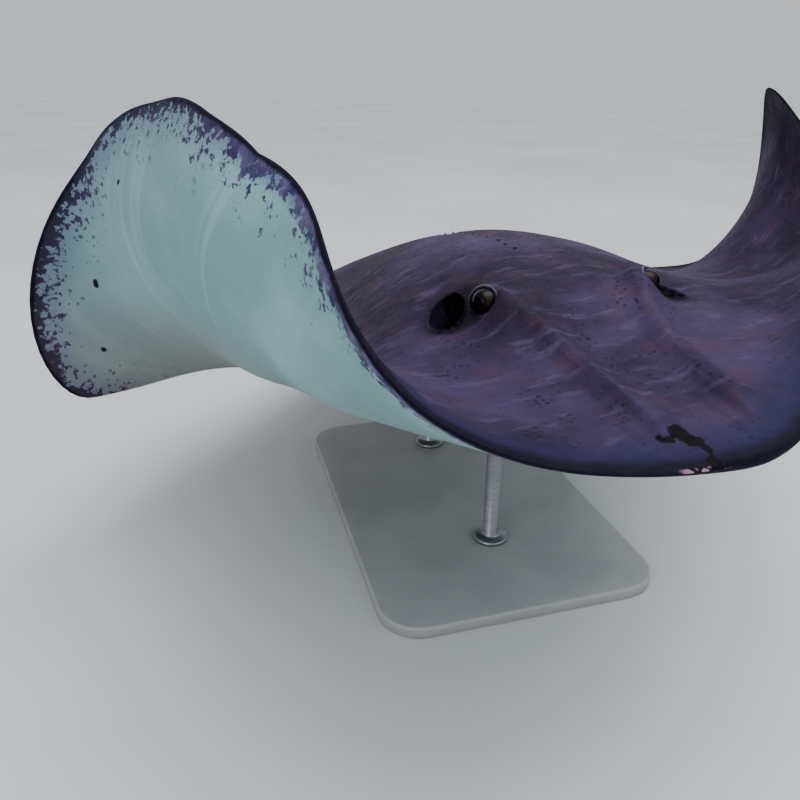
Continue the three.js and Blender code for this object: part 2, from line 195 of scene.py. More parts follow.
def back_detail(y, a):
    """Muscle and fold relief of the upper skin."""
    across = np.abs(a)
    shoulder = 0.0022 * bell(across - 0.095, 0.022) * plateau(0.26, 0.34, 0.55, 0.75, y)
    nape = -0.0015 * bell(across, 0.010) * plateau(0.24, 0.30, 0.60, 0.80, y)
    from_eye = np.hypot(y - EYE_PLACE[0], across - 0.070)
    folds = 0.00035 * np.sin(from_eye * 1500) * bell(from_eye - 0.030, 0.010)
    from_ridge = across - ridge_line(y)
    furrows = 0.0006 * np.sin(across * 620) * bell(y - 0.05, 0.04) * (1 - smooth(0.035, 0.055, across))
    beside = 0.0006 * np.sin(from_ridge * 1300) * bell(from_ridge + 0.006, 0.011) * bell(y - 0.13, 0.045)
    return shoulder + nape + folds + furrows + beside


SLIT_END = 0.004


def slit(y, a, y_at, low, high, width, depth):
    """A groove along a, between two places across, that fades out at its ends."""
    ends = plateau(low - SLIT_END, low + SLIT_END, high - SLIT_END, high + SLIT_END, a)
    return depth * bell(y - y_at, width) * ends


MOUTH = {"y": 0.183, "half": 0.040, "arch": 0.008, "width": 0.0028, "depth": 0.006}
NOSTRIL = {"y": 0.157, "a": 0.034, "long": 0.009, "wide": 0.0055, "depth": 0.007}
VENT = {"y": 0.772, "long": 0.016, "wide": 0.004, "depth": 0.006}
# The gill slits on one side: how far back each is, and how far out it starts and ends.
GILLS = [(0.236 + 0.023 * k, 0.088 - 0.0065 * k, 0.119 - 0.0085 * k) for k in range(5)]


def belly_detail(y, a):
    """Mouth, nostrils, gill slits and vent, as a change in the lower skin's depth."""
    across = np.abs(a)
    half = MOUTH["half"]
    mouth_y = MOUTH["y"] - MOUTH["arch"] * (across / half) ** 2
    mouth = slit(y, across, mouth_y, -0.02, half, MOUTH["width"], MOUTH["depth"])
    lips = slit(y, across, mouth_y + 0.007, -0.02, half, 0.0045, 0.0022)
    curtain = 0.0022 * plateau(0.150, 0.158, 0.171, 0.174, y) * (1 - smooth(0.026, 0.031, across))
    from_nostril = np.hypot((y - NOSTRIL["y"]) / NOSTRIL["long"], (across - NOSTRIL["a"]) / NOSTRIL["wide"])
    nostril = NOSTRIL["depth"] * np.exp(-(from_nostril**3))
    change = lips + curtain - mouth - nostril
    for gill_y, inner, outer in GILLS:
        at = gill_y + 0.25 * (across - inner)
        change = change - slit(y, across, at, inner, outer, 0.0024, 0.0035)
        change = change + slit(y, across, at + 0.0055, inner, outer, 0.0035, 0.0014)
    from_vent = np.hypot((y - VENT["y"]) / VENT["long"], across / VENT["wide"])
    return change - VENT["depth"] * np.exp(-(from_vent**2))


# ---- the pose

# How the crosswise sections of each wing are carried, from the snout back to the end of the disc: the
# slope of the skin at its edge (curl, degrees), how much of that is first a dip (degrees), how far the
# edge is swept back, and how much the membrane is stretched.
WINGS = {
    -1: {
        "bend": 1.2,
        "curl": curve([
            (0, 0), (0.08, 50), (0.15, 110), (0.25, 117), (0.41, 120), (0.47, 108), (0.58, 5), (0.68, 15),
            (0.87, 0),
        ]),
        "dip": curve([(0, 0), (0.08, -5), (0.22, -15), (0.38, 0), (0.52, 20), (0.68, 0), (0.87, 0)]),
        "sweep": curve([
            (0, 0), (0.08, -0.045), (0.16, -0.01), (0.24, 0.01), (0.44, -0.025), (0.57, -0.09),
            (0.70, -0.07), (0.87, 0),
        ]),
        "stretch": curve([
            (0, 0), (0.08, 0), (0.16, 0.09), (0.25, -0.05), (0.34, -0.20), (0.42, -0.17), (0.58, 0.24),
            (0.72, 0.15), (0.87, 0),
        ]),
    },
    1: {
        "bend": 2.05,
        "curl": curve([
            (0, 0), (0.08, 50), (0.16, 60), (0.24, 90), (0.34, 120), (0.46, 105), (0.58, 25), (0.70, -12),
            (0.87, 0),
        ]),
        "dip": curve([
            (0, 0), (0.08, -15), (0.16, -15), (0.32, 12), (0.40, 4), (0.53, 25), (0.68, 5), (0.87, 0),
        ]),
        "sweep": curve([
            (0, 0), (0.08, 0.04), (0.16, 0.04), (0.32, 0.06), (0.40, 0.055), (0.52, 0.01), (0.70, 0),
            (0.87, 0),
        ]),
        "stretch": curve([
            (0, 0), (0.08, -0.07), (0.24, -0.09), (0.32, -0.08), (0.40, 0.01), (0.60, 0.03), (0.87, 0),
        ]),
    },
}

# The middle line sinks and sways towards the tail.
sink = curve([
    (0, 0), (0.25, 0), (0.45, 0.005), (0.75, 0.042), (1.1, 0.104), (1.3, 0.115), (1.6, 0.100),
    (TOTAL_LENGTH, 0.005),
])
sway = curve([
    (0, 0), (0.80, 0), (1.1, -0.012), (1.5, -0.045), (1.9, -0.030), (TOTAL_LENGTH, 0.010),
])
BEND_STEPS = 32

# Where the wings hang slack between their muscles, and how much the head rolls to its left.
SLACK = [
    {"y": 0.44, "a": -0.22, "long": 0.16, "wide": 0.06, "depth": 0.035},
    {"y": 0.44, "a": 0.27, "long": 0.13, "wide": 0.10, "depth": 0.025},
]
HEAD_TWIST = 0.058


def slack(y, a):
    """How far the skin hangs below the plain curl of its section."""
    drop = HEAD_TWIST * a * bell(y - 0.20, 0.10) * bell(a, 0.14)
    for spot in SLACK:
        drop = drop + spot["depth"] * bell(y - spot["y"], spot["long"]) * bell(a - spot["a"], spot["wide"])
    return drop


def core_width(w):
    """Half width of the trunk that doesn't bend."""
    return BODY_CORE * np.clip(w / 0.35, 0.05, 1)


def section_point(y, a, h):
    """Points of the posed crosswise sections, h off their middle line, in the row frame."""
    points = np.empty(y.shape + (3,))
    w = np.maximum(half_width(y), 1e-5)
    core = core_width(w)
    middles = (np.arange(BEND_STEPS) + 0.5) / BEND_STEPS
    for side, pose in WINGS.items():
        here = (a < 0) if side < 0 else (a >= 0)
        if not here.any():
            continue
        across, width, inner = np.abs(a[here]), w[here], core[here]
        curl, dip = np.radians(pose["curl"](y[here])), np.radians(pose["dip"](y[here]))
        stretch = pose["stretch"](y[here])

        def share(d):
            return np.clip((d - inner) / np.maximum(width - inner, 1e-4), 0, 1.2)

        def slope(s):
            return curl * s ** pose["bend"] - dip * np.sin(np.pi * np.minimum(s, 1))

        x = np.zeros_like(across)
        z = np.zeros_like(across)
        for m in middles:
            s = share(across * m)
            x += np.cos(slope(s)) * (1 + stretch * s)
            z += np.sin(slope(s)) * (1 + stretch * s)
        s = share(across)
        end = slope(s)
        step = across / BEND_STEPS
        points[here, 0] = side * (x * step - np.sin(end) * h[here]) + sway(y[here])
        points[here, 1] = y[here] + pose["sweep"](y[here]) * s**1.6 - POSE_PIVOT
        points[here, 2] = z * step + np.cos(end) * h[here] - sink(y[here]) - slack(y[here], a[here])
    turn = np.array(Matrix.Rotation(ROLL, 3, "Y") @ Matrix.Rotation(-PITCH, 3, "X"))
    return points @ turn.T + np.array([0, POSE_PIVOT, PIVOT_HEIGHT]) + SHIFT


NORMAL_STEP = 0.0006


def place(y, a, h):
    """Points at places on the skin, in the row frame.

    h is measured from the middle surface: in the crosswise section near the body, and square to the
    surface out on the wings.
    """
    y, a, h = np.broadcast_arrays(np.asarray(y, float), np.asarray(a, float), np.asarray(h, float))
    points = section_point(y, a, h)
    w = np.maximum(half_width(y), 1e-5)
    core = core_width(w)
    free = smooth(0, 0.4, (np.abs(a) - core) / np.maximum(w - core, 1e-4)) * (1 - smooth(0.74, 0.84, y))
    out = (free > 0) & (h != 0)
    if out.any():
        y, a, h, free = y[out], a[out], h[out], free[out][:, None]
        level = section_point(y, a, 0 * h)
        across = section_point(y, a + NORMAL_STEP, 0 * h) - section_point(y, a - NORMAL_STEP, 0 * h)
        before = np.maximum(y - NORMAL_STEP, 0)
        along = section_point(y + NORMAL_STEP, a, 0 * h) - section_point(before, a, 0 * h)
        square = unit(np.cross(across, along))
        upright = (points[out] - level) / h[:, None]
        points[out] = level + unit(upright + free * (square - upright)) * h[:, None]
    return points


# ---- places on the skin

def graded(start, zones):
    """Places from start on, with each zone given as (end, spacing)."""
    places = [start]
    for end, spacing in zones:
        count = max(1, round((end - places[-1]) / spacing))
        places.extend(np.linspace(places[-1], end, count + 1)[1:])
    return np.array(places)


def crowded(count, zones):
    """Places from 0 to 1 that crowd towards 1 and in the zones, given as (middle, half width, strength)."""
    t = np.linspace(0, 1, 6001)
    density = 1 + 0.35 / np.sqrt(1 - t + 0.0008)
    for middle, half, strength in zones:
        density = density + strength * bell(t - middle, half)
    total = np.concatenate([[0], np.cumsum((density[1:] + density[:-1]) / 2)])
    return np.interp(np.linspace(0, total[-1], count + 1), total, t)


def both_sides(half):
    return np.concatenate([-half[:0:-1], half])


def tree_of(points):
    """The points in a tree that finds the nearest of them."""
    tree = KDTree(len(points))
    for index, point in enumerate(points):
        tree.insert(point, index)
    tree.balance()
    return tree


def margin_places(count):
    """Places (y, a) all along both sides of the outline."""
    y = TOTAL_LENGTH * np.linspace(0, 1, count) ** 2
    return [(y, side * half_width(y)) for side in (1, -1)]


flat_margin = tree_of(np.concatenate([np.stack([a, y, 0 * y], 1) for y, a in margin_places(5000)]))


def from_margin(y, a):
    """How far places on the skin, laid flat, are from the outline."""
    return np.array([flat_margin.find((q, p, 0))[2] for p, q in zip(y.ravel(), a.ravel())]).reshape(y.shape)


EDGE_ROUNDING = 0.0026


def rounded(y, edge):
    """How much of its height the skin keeps close to the margin, so that the rim comes out round."""
    radius = np.minimum(EDGE_ROUNDING, 0.35 * np.maximum(half_width(y), 1e-4))
    return np.sqrt(1 - (1 - np.clip(edge / radius, 0, 1)) ** 2)


def upper(y, a, edge):
    return (skin_height(y, a, True) + back_detail(y, a)) * rounded(y, edge)


def lower(y, a, edge):
    return -(skin_height(y, a, False) + belly_detail(y, a)) * rounded(y, edge)


# ---- the skin's mesh

class Surface:
    """Gathers points, their flat places and faces."""

    def __init__(self):
        self.points = []
        self.flat = []
        self.count = 0
        self.faces = []
        self.upper_face = []

    def add(self, points, y, a):
        points = np.asarray(points).reshape(-1, 3)
        flat = np.stack([np.broadcast_to(a, points.shape[:1]), np.broadcast_to(y, points.shape[:1])], 1)
        first = self.count
        self.points.append(points)
        self.flat.append(flat)
        self.count += len(points)
        return np.arange(first, self.count)

    def grid(self, points, y, a):
        """Adds a grid of points, and gives their numbers as a grid."""
        return self.add(points, y.ravel(), a.ravel()).reshape(y.shape)

    def join(self, faces, is_upper):
        self.faces.extend(faces)
        self.upper_face.extend([is_upper] * len(faces))

    def bridge(self, outer, inner, is_upper):
        """Quads between two closed loops of equal length."""
        self.join(list(zip(outer, np.roll(outer, -1), np.roll(inner, -1), inner)), is_upper)

    def ring(self, loop, points, places, is_upper):
        """Adds a closed loop of points, bridged to the loop before it."""
        here = self.add(points, places[:, 1], places[:, 0])
        self.bridge(loop, here, is_upper)
        return here

    def fan(self, loop, tip, is_upper):
        self.join([(here, after, tip) for here, after in zip(loop, np.roll(loop, -1))], is_upper)


# Where the upper sheet is cut away for the lids and for the breathing holes.
EYE_HOLE = {"y": 0.2050, "a": 0.0630, "long": 0.0158, "wide": 0.0112, "slant": 0}
SPIRACLE_HOLE = {"y": 0.232, "a": 0.0865, "long": 0.0345, "wide": 0.0185, "slant": SPIRACLE["slant"]}


def in_hole(hole, side, y, a):
    out = side * a - hole["a"] + hole["slant"] * (y - hole["y"])
    return np.hypot((y - hole["y"]) / hole["long"], out / hole["wide"]) < 1


def border(cells, index):
    """The closed loop of grid points round a block of removed cells, in order."""
    follow = {}
    removed = set(map(tuple, np.argwhere(cells)))
    for i, j in removed:
        corners = [(i, j), (i, j + 1), (i + 1, j + 1), (i + 1, j)]
        beyond = [(i - 1, j), (i, j + 1), (i + 1, j), (i, j - 1)]
        for k in range(4):
            if beyond[k] not in removed:
                follow[corners[k]] = corners[(k + 1) % 4]
    start = next(iter(follow))
    loop = [start]
    while follow[loop[-1]] != start:
        loop.append(follow[loop[-1]])
    return np.array([index[i, j] for i, j in loop])


rows = np.concatenate([0.02 * (np.arange(1, 13) / 12) ** 2, graded(0.02, [
    (0.15, 0.0030), (0.35, 0.0019), (0.87, 0.0062), (0.95, 0.006), (TOTAL_LENGTH, 0.018),
])[1:]])
upper_columns = both_sides(crowded(92, [(0.21, 0.07, 3.2)]))
lower_columns = both_sides(crowded(58, [(0.18, 0.10, 2.2)]))


def sheet_of(surface, columns, height):
    """A sheet of points over the rows and columns, as an index grid."""
    y = np.repeat(rows[:, None], len(columns), 1)
    a = columns[None, :] * half_width(rows)[:, None]
    edge = from_margin(y, a)
    edge[:, [0, -1]] = 0
    points = place(y, a, height(y, a, edge))
    return surface.grid(points, y, a), y, a


def quads(index, keep):
    i, j = np.nonzero(keep)
    return list(zip(index[i, j], index[i, j + 1], index[i + 1, j + 1], index[i + 1, j]))


def relaxed(rings, rounds):
    """Evens out a stack of closed rings, while the first and last stay."""
    rings = rings.copy()
    for _ in range(rounds):
        beside = (np.roll(rings, 1, 1) + np.roll(rings, -1, 1))[1:-1]
        rings[1:-1] = 0.5 * rings[1:-1] + 0.125 * (rings[:-2] + rings[2:] + beside)
    return rings


# How far an eye looks outwards, up and forward.
GAZE = (0.66, 0.44, 0.61)
GAZE_STEP = 0.01


def gaze(side):
    """The eye's centre, the way it looks, the way across it to the rear, and the way square to both."""
    y, a, h = EYE_PLACE
    centre = place(y, side * a, h)
    step = GAZE_STEP
    out = unit(place(y, side * (a + step), h) - place(y, side * (a - step), h))
    up = unit(place(y, side * a, h + step) - place(y, side * a, h - step))
    front = unit(place(y - step, side * a, h) - place(y + step, side * a, h))
    look = unit(GAZE[0] * out + GAZE[1] * up + GAZE[2] * front)
    rearward = unit(-front + look * np.dot(front, look))
    return centre, look, rearward, np.cross(look, rearward)


LID_ANGLE = np.radians(65)
LID_GAP = 0.0013
LID_RINGS = 14
# The inside of a lid, from its rim to behind the eyeball: angle past the rim and height over the ball.
LID_INSIDE = [(-0.035, 0.0011), (-0.05, 0.0006), (-0.04, 0.0001), (0.05, -0.0006), (0.35, -0.0020)]

# The materials are told the side of the body by a number: 0 under, 1 above, from 1 to 2 down a
# throat, and this one on the lids' rims.
LID_RIM = 4


def eyelids(surface, loop, side):
    """Skin from the border of an eye's hole to the lids, and on behind the eyeball."""
    centre, look, rearward, square = gaze(side)
    start = np.concatenate(surface.points)[loop]
    flat = np.concatenate(surface.flat)[loop]
    arm = start - centre
    reach = np.linalg.norm(arm, axis=1)
    turn = np.arctan2(arm @ square, arm @ rearward)
    polar = np.arccos(np.clip(arm @ look / reach, -1, 1))

    def ring(angle, radius):
        across = np.cos(turn)[:, None] * rearward + np.sin(turn)[:, None] * square
        away = np.cos(angle)[:, None] * look + np.sin(angle)[:, None] * across
        return centre + radius[:, None] * away

    even = np.ones(len(loop))
    lid_radius = EYE_RADIUS + LID_GAP
    rings = []
    for k in range(LID_RINGS + 1):
        s = k / LID_RINGS
        fold = -0.0009 * bell(s - 0.70, 0.09) + 0.0007 * bell(s - 0.88, 0.08)
        radius = reach + (lid_radius - reach) * s + fold
        rings.append(ring(polar + (LID_ANGLE - polar) * s, radius))
    rings = relaxed(np.array(rings), 5)
    rings[0] = start
    curled = [ring((LID_ANGLE + angle) * even, (EYE_RADIUS + lift) * even) for angle, lift in LID_INSIDE]
    last = loop
    middle = np.array([side * EYE_HOLE["a"], EYE_PLACE[0]])
    for k, points in enumerate([*rings[1:], *curled]):
        shrink = 1 - 0.5 * min((k + 1) / LID_RINGS, 1)
        places = middle + (flat - middle) * shrink
        last = surface.ring(last, points, places, LID_RIM if k in (LID_RINGS - 2, LID_RINGS - 1) else 1)
    tip = surface.add(centre[None], EYE_PLACE[0], side * EYE_PLACE[1])[0]
    surface.fan(last, tip, True)


SPIRACLE_RINGS = 7
THROAT_RINGS = 11


def spiracle(surface, loop, side):
    """The breathing hole behind an eye: a thick rim, then a throat that runs down and inwards."""
    flat = np.concatenate(surface.flat)[loop]
    middle = np.array([side * SPIRACLE["a"], SPIRACLE["y"]])
    away = flat - middle
    turn = np.arctan2(away[:, 1] / SPIRACLE["long"], away[:, 0] / SPIRACLE["wide"])
    oval = np.stack([np.cos(turn) * SPIRACLE["wide"], np.sin(turn) * SPIRACLE["long"]], 1)
    slant = np.array([[1, 0], [-side * SPIRACLE["slant"], 1]])
    rim = oval @ slant
    last = loop
    for k in range(1, SPIRACLE_RINGS + 1):
        s = k / SPIRACLE_RINGS
        places = flat + (middle + rim - flat) * s
        lip = 0.0026 * smooth(0.2, 0.85, s) * (0.55 - 0.45 * np.sin(turn)) - 0.0012 * smooth(0.85, 1, s)
        height = skin_height(places[:, 1], places[:, 0], True) + lip
        last = surface.ring(last, place(places[:, 1], places[:, 0], height), places, True)
    rim_height = height
    drift = np.array([-side * 0.010, 0.006])
    for k in range(1, THROAT_RINGS + 1):
        s = k / THROAT_RINGS
        narrow = 1.0 + 0.10 * np.sin(np.pi * min(2.2 * s, 1)) - 0.50 * s**1.5
        valve = 0.0045 * bell(s - 0.35, 0.16) * smooth(-0.2, 0.9, -np.sin(turn))
        places = middle + drift * s + rim * narrow
        places[:, 1] += valve
        depth = SPIRACLE["depth"] * s**1.15
        low = rim_height * (1 - s) + rim_height.mean() * s - depth
        last = surface.ring(last, place(places[:, 1], places[:, 0], low), places, 1 + s)
    end = middle + drift
    low = rim_height.mean() - SPIRACLE["depth"] * 1.08
    tip = surface.add(place(end[1], end[0], low)[None], end[1], end[0])[0]
    surface.fan(last, tip, 2)


def body_surface():
    """The skin apart from the pelvic fins: two sheets that share the margin, and the head's openings."""
    surface = Surface()
    over, y, a = sheet_of(surface, upper_columns, upper)
    under, _, _ = sheet_of(surface, lower_columns, lower)
    under[:, 0] = over[:, 0]
    under[:, -1] = over[:, -1]
    middle_y = (y[:-1, :-1] + y[1:, 1:]) / 2
    middle_a = (a[:-1, :-1] + a[:-1, 1:] + a[1:, :-1] + a[1:, 1:]) / 4
    keep = np.ones(middle_y.shape, bool)
    for side in (-1, 1):
        for hole, fill in ((EYE_HOLE, eyelids), (SPIRACLE_HOLE, spiracle)):
            cells = in_hole(hole, side, middle_y, middle_a)
            keep &= ~cells
            fill(surface, border(cells, over), side)
    surface.join(quads(over, keep), True)
    flipped = [face[::-1] for face in quads(under, np.ones((len(rows) - 1, len(lower_columns) - 1), bool))]
    surface.join(flipped, False)
    for row, y_end in ((0, 0.0), (-1, TOTAL_LENGTH)):
        tip = surface.add(place(y_end, 0, 0)[None], y_end, 0.0)[0]
        for grid, is_upper in ((over, True), (under, False)):
            line = grid[row]
            surface.join([(line[i], line[i + 1], tip) for i in range(len(line) - 1)], is_upper)
    return surface


# ---- pelvic fins

PELVIC = {"start": 0.765, "end": 0.918, "inner": 0.030, "width": 0.066, "root": 0.0075, "edge": 0.002}


def pelvic_surface(side):
    """A soft lobe under the rear of the disc, closed all round."""
    surface = Surface()
    y = np.linspace(PELVIC["start"], PELVIC["end"], 44)
    along = (y - PELVIC["start"]) / (PELVIC["end"] - PELVIC["start"])
    reach = np.maximum(PELVIC["width"] * np.sin(np.pi * along**1.35) ** 0.6, 0.004)
    out = np.sin(np.linspace(0, np.pi / 2, 22))
    y_grid = np.repeat(y[:, None], len(out), 1)
    a_grid = side * (PELVIC["inner"] + reach[:, None] * out[None, :])
    top = -skin_height(y_grid, a_grid, False) - 0.0012
    top = top + 0.0035 * (1 - out[None, :]) + 0.0005 * np.sin(out[None, :] * 26) * out[None, :]
    thick = PELVIC["root"] + (PELVIC["edge"] - PELVIC["root"]) * out[None, :] ** 0.7
    close_out = np.sqrt(np.clip(1 - out**8, 0, 1))
    close_along = np.sqrt(np.clip(np.sin(np.pi * along), 0, 1))
    half = thick / 2 * close_out[None, :] * close_along[:, None]
    heights = top - thick / 2 + half, top - thick / 2 - half
    over, under = (surface.grid(place(y_grid, a_grid, h), y_grid, a_grid) for h in heights)
    under[:, -1] = over[:, -1]
    under[[0, -1]] = over[[0, -1]]
    whole = np.ones((len(y) - 1, len(out) - 1), bool)
    surface.join(quads(over, whole), True)
    surface.join([face[::-1] for face in quads(under, whole)], False)
    root = [(over[i, 0], over[i + 1, 0], under[i + 1, 0], under[i, 0]) for i in range(1, len(y) - 2)]
    root += [(over[0, 0], over[1, 0], under[1, 0]), (over[-1, 0], under[-2, 0], over[-2, 0])]
    surface.join(root, False)
    return surface


# ---- objects

def added(name, data):
    """A new object in the scene."""
    made = bpy.data.objects.new(name, data)
    bpy.context.scene.collection.objects.link(made)
    return made


def new_object(name, points, faces, parent="root"):
    mesh = bpy.data.meshes.new(name)
    mesh.from_pydata(np.asarray(points).tolist(), [], [tuple(int(i) for i in face) for face in faces])
    mesh.validate()
    piece = added(name, mesh)
    mesh.polygons.foreach_set("use_smooth", np.ones(len(mesh.polygons), bool))
    if parent:
        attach(piece, parent)
    return piece


def outward(piece):
    """Turns every face of a closed mesh outwards."""
    work = bmesh.new()
    work.from_mesh(piece.data)
    bmesh.ops.recalc_face_normals(work, faces=work.faces)
    work.to_mesh(piece.data)
    work.free()


def corner_points(mesh):
    """The number of the point at each face corner."""
    corners = np.empty(len(mesh.loops), np.int32)
    mesh.loops.foreach_get("vertex_index", corners)
    return corners


def set_map(mesh, name, values):
    """Writes a UV map from one pair of values for each face corner."""
    layer = mesh.uv_layers.new(name=name, do_init=False)
    layer.uv.foreach_set("vector", np.asarray(values, np.float32).ravel())


# The unwrap for baking: the upper skin lies in the left half and the lower skin in the right.
BAKE_SCALE = 0.46
BAKE_MIDDLES = (0.25, 0.75)
BAKE_EDGE = 0.005


placed_margin = tree_of(np.concatenate([place(y, a, 0) for y, a in margin_places(6000)]))


def map_surface(piece, surface):
    """Flat places, distance to the margin and side of the body, for the materials to read."""
    mesh = piece.data
    flat = np.concatenate(surface.flat)
    corners = corner_points(mesh)
    sizes = np.empty(len(mesh.polygons), np.int32)
    mesh.polygons.foreach_get("loop_total", sizes)
    is_upper = np.repeat(np.array(surface.upper_face, np.float32), sizes)
    edge = np.array([placed_margin.find(point)[2] for point in np.concatenate(surface.points)])
    set_map(mesh, "Flat", flat[corners])
    set_map(mesh, "Edge", np.stack([edge[corners], is_upper], 1))
    across = flat[corners, 0] * BAKE_SCALE + np.where(is_upper > 0.5, *BAKE_MIDDLES)
    set_map(mesh, "OFBake", np.stack([across, flat[corners, 1] * BAKE_SCALE + BAKE_EDGE], 1))


def surface_object(name, surface):
    piece = new_object(name, np.concatenate(surface.points), surface.faces)
    if len(piece.data.polygons) != len(surface.faces):
        raise RuntimeError(f"{name} lost faces when it was made")
    map_surface(piece, surface)
    outward(piece)
    return piece


def unite(piece, other):
    """Adds a closed mesh to another, so that they are one skin."""
    joint = piece.modifiers.new("unite", "BOOLEAN")
    joint.operation = "UNION"
    joint.solver = "EXACT"
    joint.object = other
    graph = bpy.context.evaluated_depsgraph_get()
    made = bpy.data.meshes.new_from_object(piece.evaluated_get(graph))
    piece.modifiers.clear()
    piece.data = made
    bpy.data.objects.remove(other)


FLESH = [
    "head", "trunk", "fin_pectoral_right", "fin_pectoral_left", "fin_pelvic_right", "fin_pelvic_left",
    "tail_base", "tail_middle", "tail_end",
]


def make_skin():
    piece = surface_object("skin", body_surface())
    for side in (-1, 1):
        unite(piece, surface_object("pelvic_lobe", pelvic_surface(side)))
    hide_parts(*FLESH)
    return piece


def around(count):
    """Angles all the way round, for the points of a ring."""
    return np.arange(count) / count * 2 * np.pi


def tube_faces(rings, sides, first=0):
    """The faces between rings of points that follow each other."""
    faces = []
    for low in range(first, first + (rings - 1) * sides, sides):
        for k in range(sides):
            after = (k + 1) % sides
            faces.append((low + k, low + after, low + sides + after, low + sides + k))
    return faces


EYE_GAP = 0.0002
CORNEA = {"bulge": 0.0008, "inner": np.radians(20), "outer": np.radians(46)}


def make_eye(name, side):
    """An eyeball with a raised cornea, its pole towards the way it looks."""
    centre, look, rearward, square = gaze(side)
    rings, segments = 36, 56
    angles = np.linspace(0, np.pi, rings + 1)[1:-1]
    turns = around(segments)[:, None]
    across = np.cos(turns) * rearward + np.sin(turns) * square
    bulge = CORNEA["bulge"] * (1 - smooth(CORNEA["inner"], CORNEA["outer"], angles))
    radius = EYE_RADIUS - EYE_GAP + bulge
    points = [centre + look * (EYE_RADIUS - EYE_GAP + CORNEA["bulge"])]
    for angle, r in zip(angles, radius):
        points.extend(centre + r * (np.cos(angle) * look + np.sin(angle) * across))
    points.append(centre - look * (EYE_RADIUS - EYE_GAP))
    polar = np.concatenate([[0], np.repeat(angles / np.pi, segments), [1]])
    last = 1 + (rings - 2) * segments
    faces = [(0, 1 + k, 1 + (k + 1) % segments) for k in range(segments)]
    faces += tube_faces(rings - 1, segments, 1)
    faces += [(last + k, len(points) - 1, last + (k + 1) % segments) for k in range(segments)]
    piece = new_object(name, points, faces)
    outward(piece)
    corners = corner_points(piece.data)
    arms = np.array(points) - centre
    front = np.stack([arms @ rearward, arms @ square], 1) / EYE_RADIUS
    set_map(piece.data, "Gaze", front[corners] * 0.5 + 0.5)
    set_map(piece.data, "Polar", np.stack([polar[corners], np.zeros(len(corners))], 1))
    cad_node = f"eye_{'left' if side > 0 else 'right'}"
    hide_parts(cad_node)
    return piece


def stack_of_loops(name, loops):
    """A closed solid from a stack of loops of equal length."""
    n = len(loops[0])
    points = np.concatenate(loops)
    faces = tube_faces(len(loops), n)
    faces.append(tuple(range(n)))
    faces.append(tuple(range(len(points) - n, len(points))))
    piece = new_object(name, points, faces)
    outward(piece)
    return piece


STING = {"start": 1.165, "length": 0.100, "half": 0.0036, "thick": 0.0034, "lift": 0.006, "barbs": 26}


def make_sting():
    """A flat blade with a saw edge on each side, rising a little from the tail."""
    count = STING["barbs"] * 6
    t = np.linspace(0, 1, count + 1)
    y = STING["start"] + STING["length"] * t
    saw = (t * STING["barbs"]) % 1
    half = STING["half"] * (1 - 0.86 * t**1.6) * (1 + 0.26 * (1 - saw) * smooth(0.12, 0.25, t))
    thick = STING["thick"] * (1 - 0.75 * t)
    under = skin_height(y, 0 * y, True) - 0.0010 + (STING["lift"] + 0.001) * t**2
    turns = around(10)
    flat_side = np.sign(np.sin(turns)) * np.abs(np.sin(turns)) ** 1.3
    across = half[:, None] * np.cos(turns)
    height = (under + thick / 2)[:, None] + thick[:, None] / 2 * flat_side
    piece = stack_of_loops("sting", place(y[:, None], across, height))
    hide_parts("sting_spine")
    return piece


THORNS = {"start": 0.30, "end": 1.12, "spacing": 0.021, "sides": 8}
# The rings of a thorn, in parts of its size: height, radius, and how far back it leans.
THORN_RINGS = ((0, 1.0, 0), (0.9, 0.55, 0.3), (1.5, 0.22, 0.8))


def make_thorns(random):
    """Small backward-leaning thorns along the middle of the back and the tail's base."""
    points, faces = [], []
    sides = THORNS["sides"]
    for y in np.arange(THORNS["start"], THORNS["end"], THORNS["spacing"]):
        y = y + random.uniform(-0.004, 0.004)
        a = random.uniform(-0.0012, 0.0012)
        size = random.uniform(0.0010, 0.0016) * (1 if y < 0.86 else 0.8)
        base = float(skin_height(y, a, True)) - 0.0008
        first = len(points)
        for lift, radius, lean in THORN_RINGS:
            across = a + size * radius * np.cos(around(sides))
            at = y + size * (1.4 * radius * np.sin(around(sides)) + lean)
            points.extend(place(at, across, base + size * lift))
        points.append(place(y + size * 1.2, a, base + size * 1.7))
        tip = len(points) - 1
        faces += tube_faces(len(THORN_RINGS), sides, first)
        faces += [(tip - sides + k, tip - sides + (k + 1) % sides, tip) for k in range(sides)]
        faces.append(tuple(range(first, first + sides)))
    piece = new_object("back_thorns", points, faces)
    outward(piece)
    return piece


# ---- the stand

BASE = {"corner": 0.040, "bevel": 0.003, "foot": 0.0012, "corner_steps": 12, "bevel_steps": 6}


def make_base():
    """The flat base, with its round corners and an eased upper edge."""
    low, high = base_low, base_high
    corner, bevel, foot = BASE["corner"], BASE["bevel"], BASE["foot"]
    centre = (low + high) / 2

    def loop(inset, z):
        points = []
        for k, (sx, sy) in enumerate(((1, -1), (1, 1), (-1, 1), (-1, -1))):
            x = centre.x + sx * ((high.x - low.x) / 2 - corner)
            y = centre.y + sy * ((high.y - low.y) / 2 - corner)
            for step in range(BASE["corner_steps"] + 1):
                turn = np.pi / 2 * (k - 1 + step / BASE["corner_steps"])
                arm = corner - inset
                points.append((x + arm * np.cos(turn), y + arm * np.sin(turn), z))
        return np.array(points)

    loops = [loop(foot, low.z), loop(0, low.z + foot)]
    for step in range(BASE["bevel_steps"] + 1):
        turn = np.pi / 2 * step / BASE["bevel_steps"]
        loops.append(loop(bevel * (1 - np.cos(turn)), high.z - bevel + bevel * np.sin(turn)))
    loops.append(loop(0.020, high.z))
    piece = stack_of_loops("stand_plate", loops)
    for face in piece.data.polygons:
        if len(face.vertices) > 4:
            face.use_smooth = False
    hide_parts("stand_base")
    return piece


